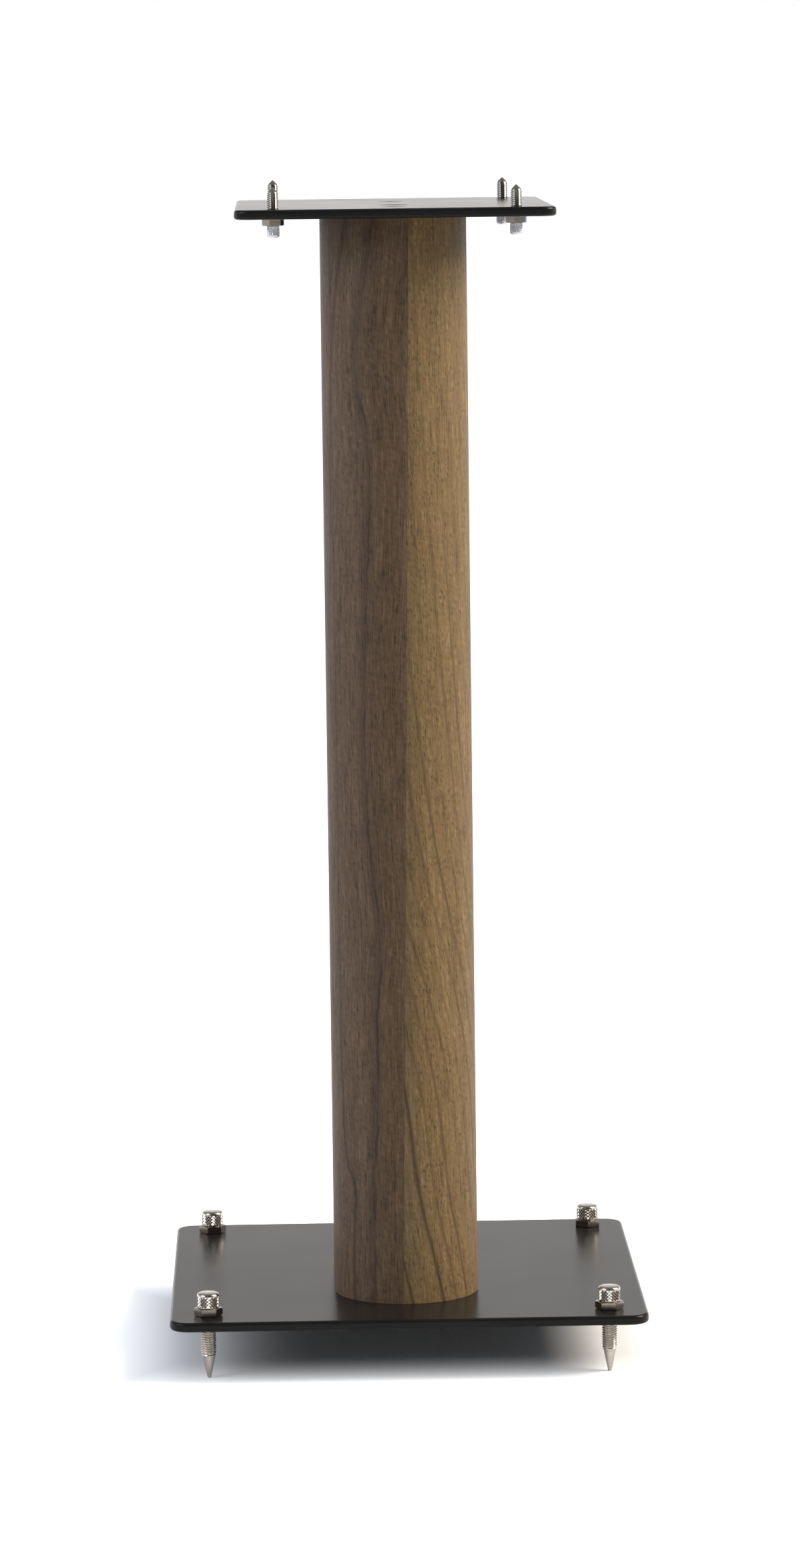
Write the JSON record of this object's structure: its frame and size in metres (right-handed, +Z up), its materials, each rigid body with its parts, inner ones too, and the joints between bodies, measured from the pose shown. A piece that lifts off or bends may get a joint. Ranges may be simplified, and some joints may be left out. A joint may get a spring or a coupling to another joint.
{
  "type": "speaker stand",
  "caption": "Loudspeaker stand: round-nosed walnut column between a black base plate on adjustable floor spikes and a black top plate with adjustable studs.",
  "frame": {"origin": "on the floor under the middle of the two plates, at the level of the spike tips", "axes": "+Z up, +Y to the rear, +X to the right as seen from the front, where the column's front nose is"},
  "size_m": [0.25, 0.25, 0.6195],
  "materials": {
    "black_plate": "satin black powder coat",
    "walnut": "satin lacquer over dark walnut veneer",
    "plywood": "raw bent plywood",
    "block_wood": "raw fibreboard",
    "brass": "turned",
    "black_screw": "black oxide steel",
    "nickel": "bright nickel on turned steel"
  },
  "bodies": {
    "stand": {"base_plate": "black_plate", "top_plate": "black_plate", "column_shell_left": "plywood", "column_shell_right": "plywood", "veneer_left": "walnut", "veneer_right": "walnut", "front_joint_strip": "plywood", "rear_joint_strip": "plywood", "foot_block": "block_wood", "head_block": "block_wood", "base_insert_main": "brass", "base_inserts_small": "brass", "top_insert_main": "brass", "top_inserts_small": "brass", "base_screw_main": "black_screw", "base_screws_small": "black_screw", "top_screw_main": "black_screw", "top_screws_small": "black_screw"},
    "foot_spike_front_left": {"foot_spike_front_left": "nickel"},
    "foot_nut_front_left": {"foot_nut_front_left": "nickel"},
    "foot_knob_front_left": {"foot_knob_front_left": "nickel"},
    "top_stud_front_left": {"top_stud_front_left": "nickel"},
    "stud_nut_front_left": {"stud_nut_front_left": "nickel"},
    "stud_head_front_left": {"stud_head_front_left": "nickel"},
    "foot_spike_front_right": {"foot_spike_front_right": "nickel"},
    "foot_nut_front_right": {"foot_nut_front_right": "nickel"},
    "foot_knob_front_right": {"foot_knob_front_right": "nickel"},
    "top_stud_front_right": {"top_stud_front_right": "nickel"},
    "stud_nut_front_right": {"stud_nut_front_right": "nickel"},
    "stud_head_front_right": {"stud_head_front_right": "nickel"},
    "foot_spike_rear_left": {"foot_spike_rear_left": "nickel"},
    "foot_nut_rear_left": {"foot_nut_rear_left": "nickel"},
    "foot_knob_rear_left": {"foot_knob_rear_left": "nickel"},
    "top_stud_rear_left": {"top_stud_rear_left": "nickel"},
    "stud_nut_rear_left": {"stud_nut_rear_left": "nickel"},
    "stud_head_rear_left": {"stud_head_rear_left": "nickel"},
    "foot_spike_rear_right": {"foot_spike_rear_right": "nickel"},
    "foot_nut_rear_right": {"foot_nut_rear_right": "nickel"},
    "foot_knob_rear_right": {"foot_knob_rear_right": "nickel"},
    "top_stud_rear_right": {"top_stud_rear_right": "nickel"},
    "stud_nut_rear_right": {"stud_nut_rear_right": "nickel"},
    "stud_head_rear_right": {"stud_head_rear_right": "nickel"}
  },
  "joints": [
    {"name": "foot_spike_front_left_travel", "type": "slide", "parent": "stand", "child": "foot_spike_front_left", "axis": [0, 0, 1], "range_m": [0, 0.015]},
    {"name": "foot_knob_front_left_turn", "type": "hinge", "parent": "foot_spike_front_left", "child": "foot_knob_front_left", "pos_m": [-0.105, -0.105, 0.0415], "axis": [0, 0, 1], "range_deg": [0, 4320]},
    {"name": "foot_nut_front_left_turn", "type": "hinge", "parent": "stand", "child": "foot_nut_front_left", "pos_m": [-0.105, -0.105, 0.0355], "axis": [0, 0, 1], "range_deg": [0, 360]},
    {"name": "top_stud_front_left_travel", "type": "slide", "parent": "stand", "child": "top_stud_front_left", "axis": [0, 0, 1], "range_m": [-0.008, 0]},
    {"name": "stud_head_front_left_turn", "type": "hinge", "parent": "top_stud_front_left", "child": "stud_head_front_left", "pos_m": [-0.0625, -0.09, 0.597], "axis": [0, 0, 1], "range_deg": [-2880, 0]},
    {"name": "stud_nut_front_left_turn", "type": "hinge", "parent": "stand", "child": "stud_nut_front_left", "pos_m": [-0.0625, -0.09, 0.6016], "axis": [0, 0, 1], "range_deg": [-360, 0]},
    {"name": "foot_spike_front_right_travel", "type": "slide", "parent": "stand", "child": "foot_spike_front_right", "axis": [0, 0, 1], "range_m": [0, 0.015]},
    {"name": "foot_knob_front_right_turn", "type": "hinge", "parent": "foot_spike_front_right", "child": "foot_knob_front_right", "pos_m": [0.105, -0.105, 0.0415], "axis": [0, 0, 1], "range_deg": [0, 4320]},
    {"name": "foot_nut_front_right_turn", "type": "hinge", "parent": "stand", "child": "foot_nut_front_right", "pos_m": [0.105, -0.105, 0.0355], "axis": [0, 0, 1], "range_deg": [0, 360]},
    {"name": "top_stud_front_right_travel", "type": "slide", "parent": "stand", "child": "top_stud_front_right", "axis": [0, 0, 1], "range_m": [-0.008, 0]},
    {"name": "stud_head_front_right_turn", "type": "hinge", "parent": "top_stud_front_right", "child": "stud_head_front_right", "pos_m": [0.0625, -0.09, 0.597], "axis": [0, 0, 1], "range_deg": [-2880, 0]},
    {"name": "stud_nut_front_right_turn", "type": "hinge", "parent": "stand", "child": "stud_nut_front_right", "pos_m": [0.0625, -0.09, 0.6016], "axis": [0, 0, 1], "range_deg": [-360, 0]},
    {"name": "foot_spike_rear_left_travel", "type": "slide", "parent": "stand", "child": "foot_spike_rear_left", "axis": [0, 0, 1], "range_m": [0, 0.015]},
    {"name": "foot_knob_rear_left_turn", "type": "hinge", "parent": "foot_spike_rear_left", "child": "foot_knob_rear_left", "pos_m": [-0.105, 0.105, 0.0415], "axis": [0, 0, 1], "range_deg": [0, 4320]},
    {"name": "foot_nut_rear_left_turn", "type": "hinge", "parent": "stand", "child": "foot_nut_rear_left", "pos_m": [-0.105, 0.105, 0.0355], "axis": [0, 0, 1], "range_deg": [0, 360]},
    {"name": "top_stud_rear_left_travel", "type": "slide", "parent": "stand", "child": "top_stud_rear_left", "axis": [0, 0, 1], "range_m": [-0.008, 0]},
    {"name": "stud_head_rear_left_turn", "type": "hinge", "parent": "top_stud_rear_left", "child": "stud_head_rear_left", "pos_m": [-0.0625, 0.09, 0.597], "axis": [0, 0, 1], "range_deg": [-2880, 0]},
    {"name": "stud_nut_rear_left_turn", "type": "hinge", "parent": "stand", "child": "stud_nut_rear_left", "pos_m": [-0.0625, 0.09, 0.6016], "axis": [0, 0, 1], "range_deg": [-360, 0]},
    {"name": "foot_spike_rear_right_travel", "type": "slide", "parent": "stand", "child": "foot_spike_rear_right", "axis": [0, 0, 1], "range_m": [0, 0.015]},
    {"name": "foot_knob_rear_right_turn", "type": "hinge", "parent": "foot_spike_rear_right", "child": "foot_knob_rear_right", "pos_m": [0.105, 0.105, 0.0415], "axis": [0, 0, 1], "range_deg": [0, 4320]},
    {"name": "foot_nut_rear_right_turn", "type": "hinge", "parent": "stand", "child": "foot_nut_rear_right", "pos_m": [0.105, 0.105, 0.0355], "axis": [0, 0, 1], "range_deg": [0, 360]},
    {"name": "top_stud_rear_right_travel", "type": "slide", "parent": "stand", "child": "top_stud_rear_right", "axis": [0, 0, 1], "range_m": [-0.008, 0]},
    {"name": "stud_head_rear_right_turn", "type": "hinge", "parent": "top_stud_rear_right", "child": "stud_head_rear_right", "pos_m": [0.0625, 0.09, 0.597], "axis": [0, 0, 1], "range_deg": [-2880, 0]},
    {"name": "stud_nut_rear_right_turn", "type": "hinge", "parent": "stand", "child": "stud_nut_rear_right", "pos_m": [0.0625, 0.09, 0.6016], "axis": [0, 0, 1], "range_deg": [-360, 0]}
  ],
  "couplings": [
    {"joint": "foot_knob_front_left_turn", "follows": "foot_spike_front_left_travel", "rad_per_m": 5026.5},
    {"joint": "stud_head_front_left_turn", "follows": "top_stud_front_left_travel", "rad_per_m": 6283.2},
    {"joint": "foot_knob_front_right_turn", "follows": "foot_spike_front_right_travel", "rad_per_m": 5026.5},
    {"joint": "stud_head_front_right_turn", "follows": "top_stud_front_right_travel", "rad_per_m": 6283.2},
    {"joint": "foot_knob_rear_left_turn", "follows": "foot_spike_rear_left_travel", "rad_per_m": 5026.5},
    {"joint": "stud_head_rear_left_turn", "follows": "top_stud_rear_left_travel", "rad_per_m": 6283.2},
    {"joint": "foot_knob_rear_right_turn", "follows": "foot_spike_rear_right_travel", "rad_per_m": 5026.5},
    {"joint": "stud_head_rear_right_turn", "follows": "top_stud_rear_right_travel", "rad_per_m": 6283.2}
  ]
}
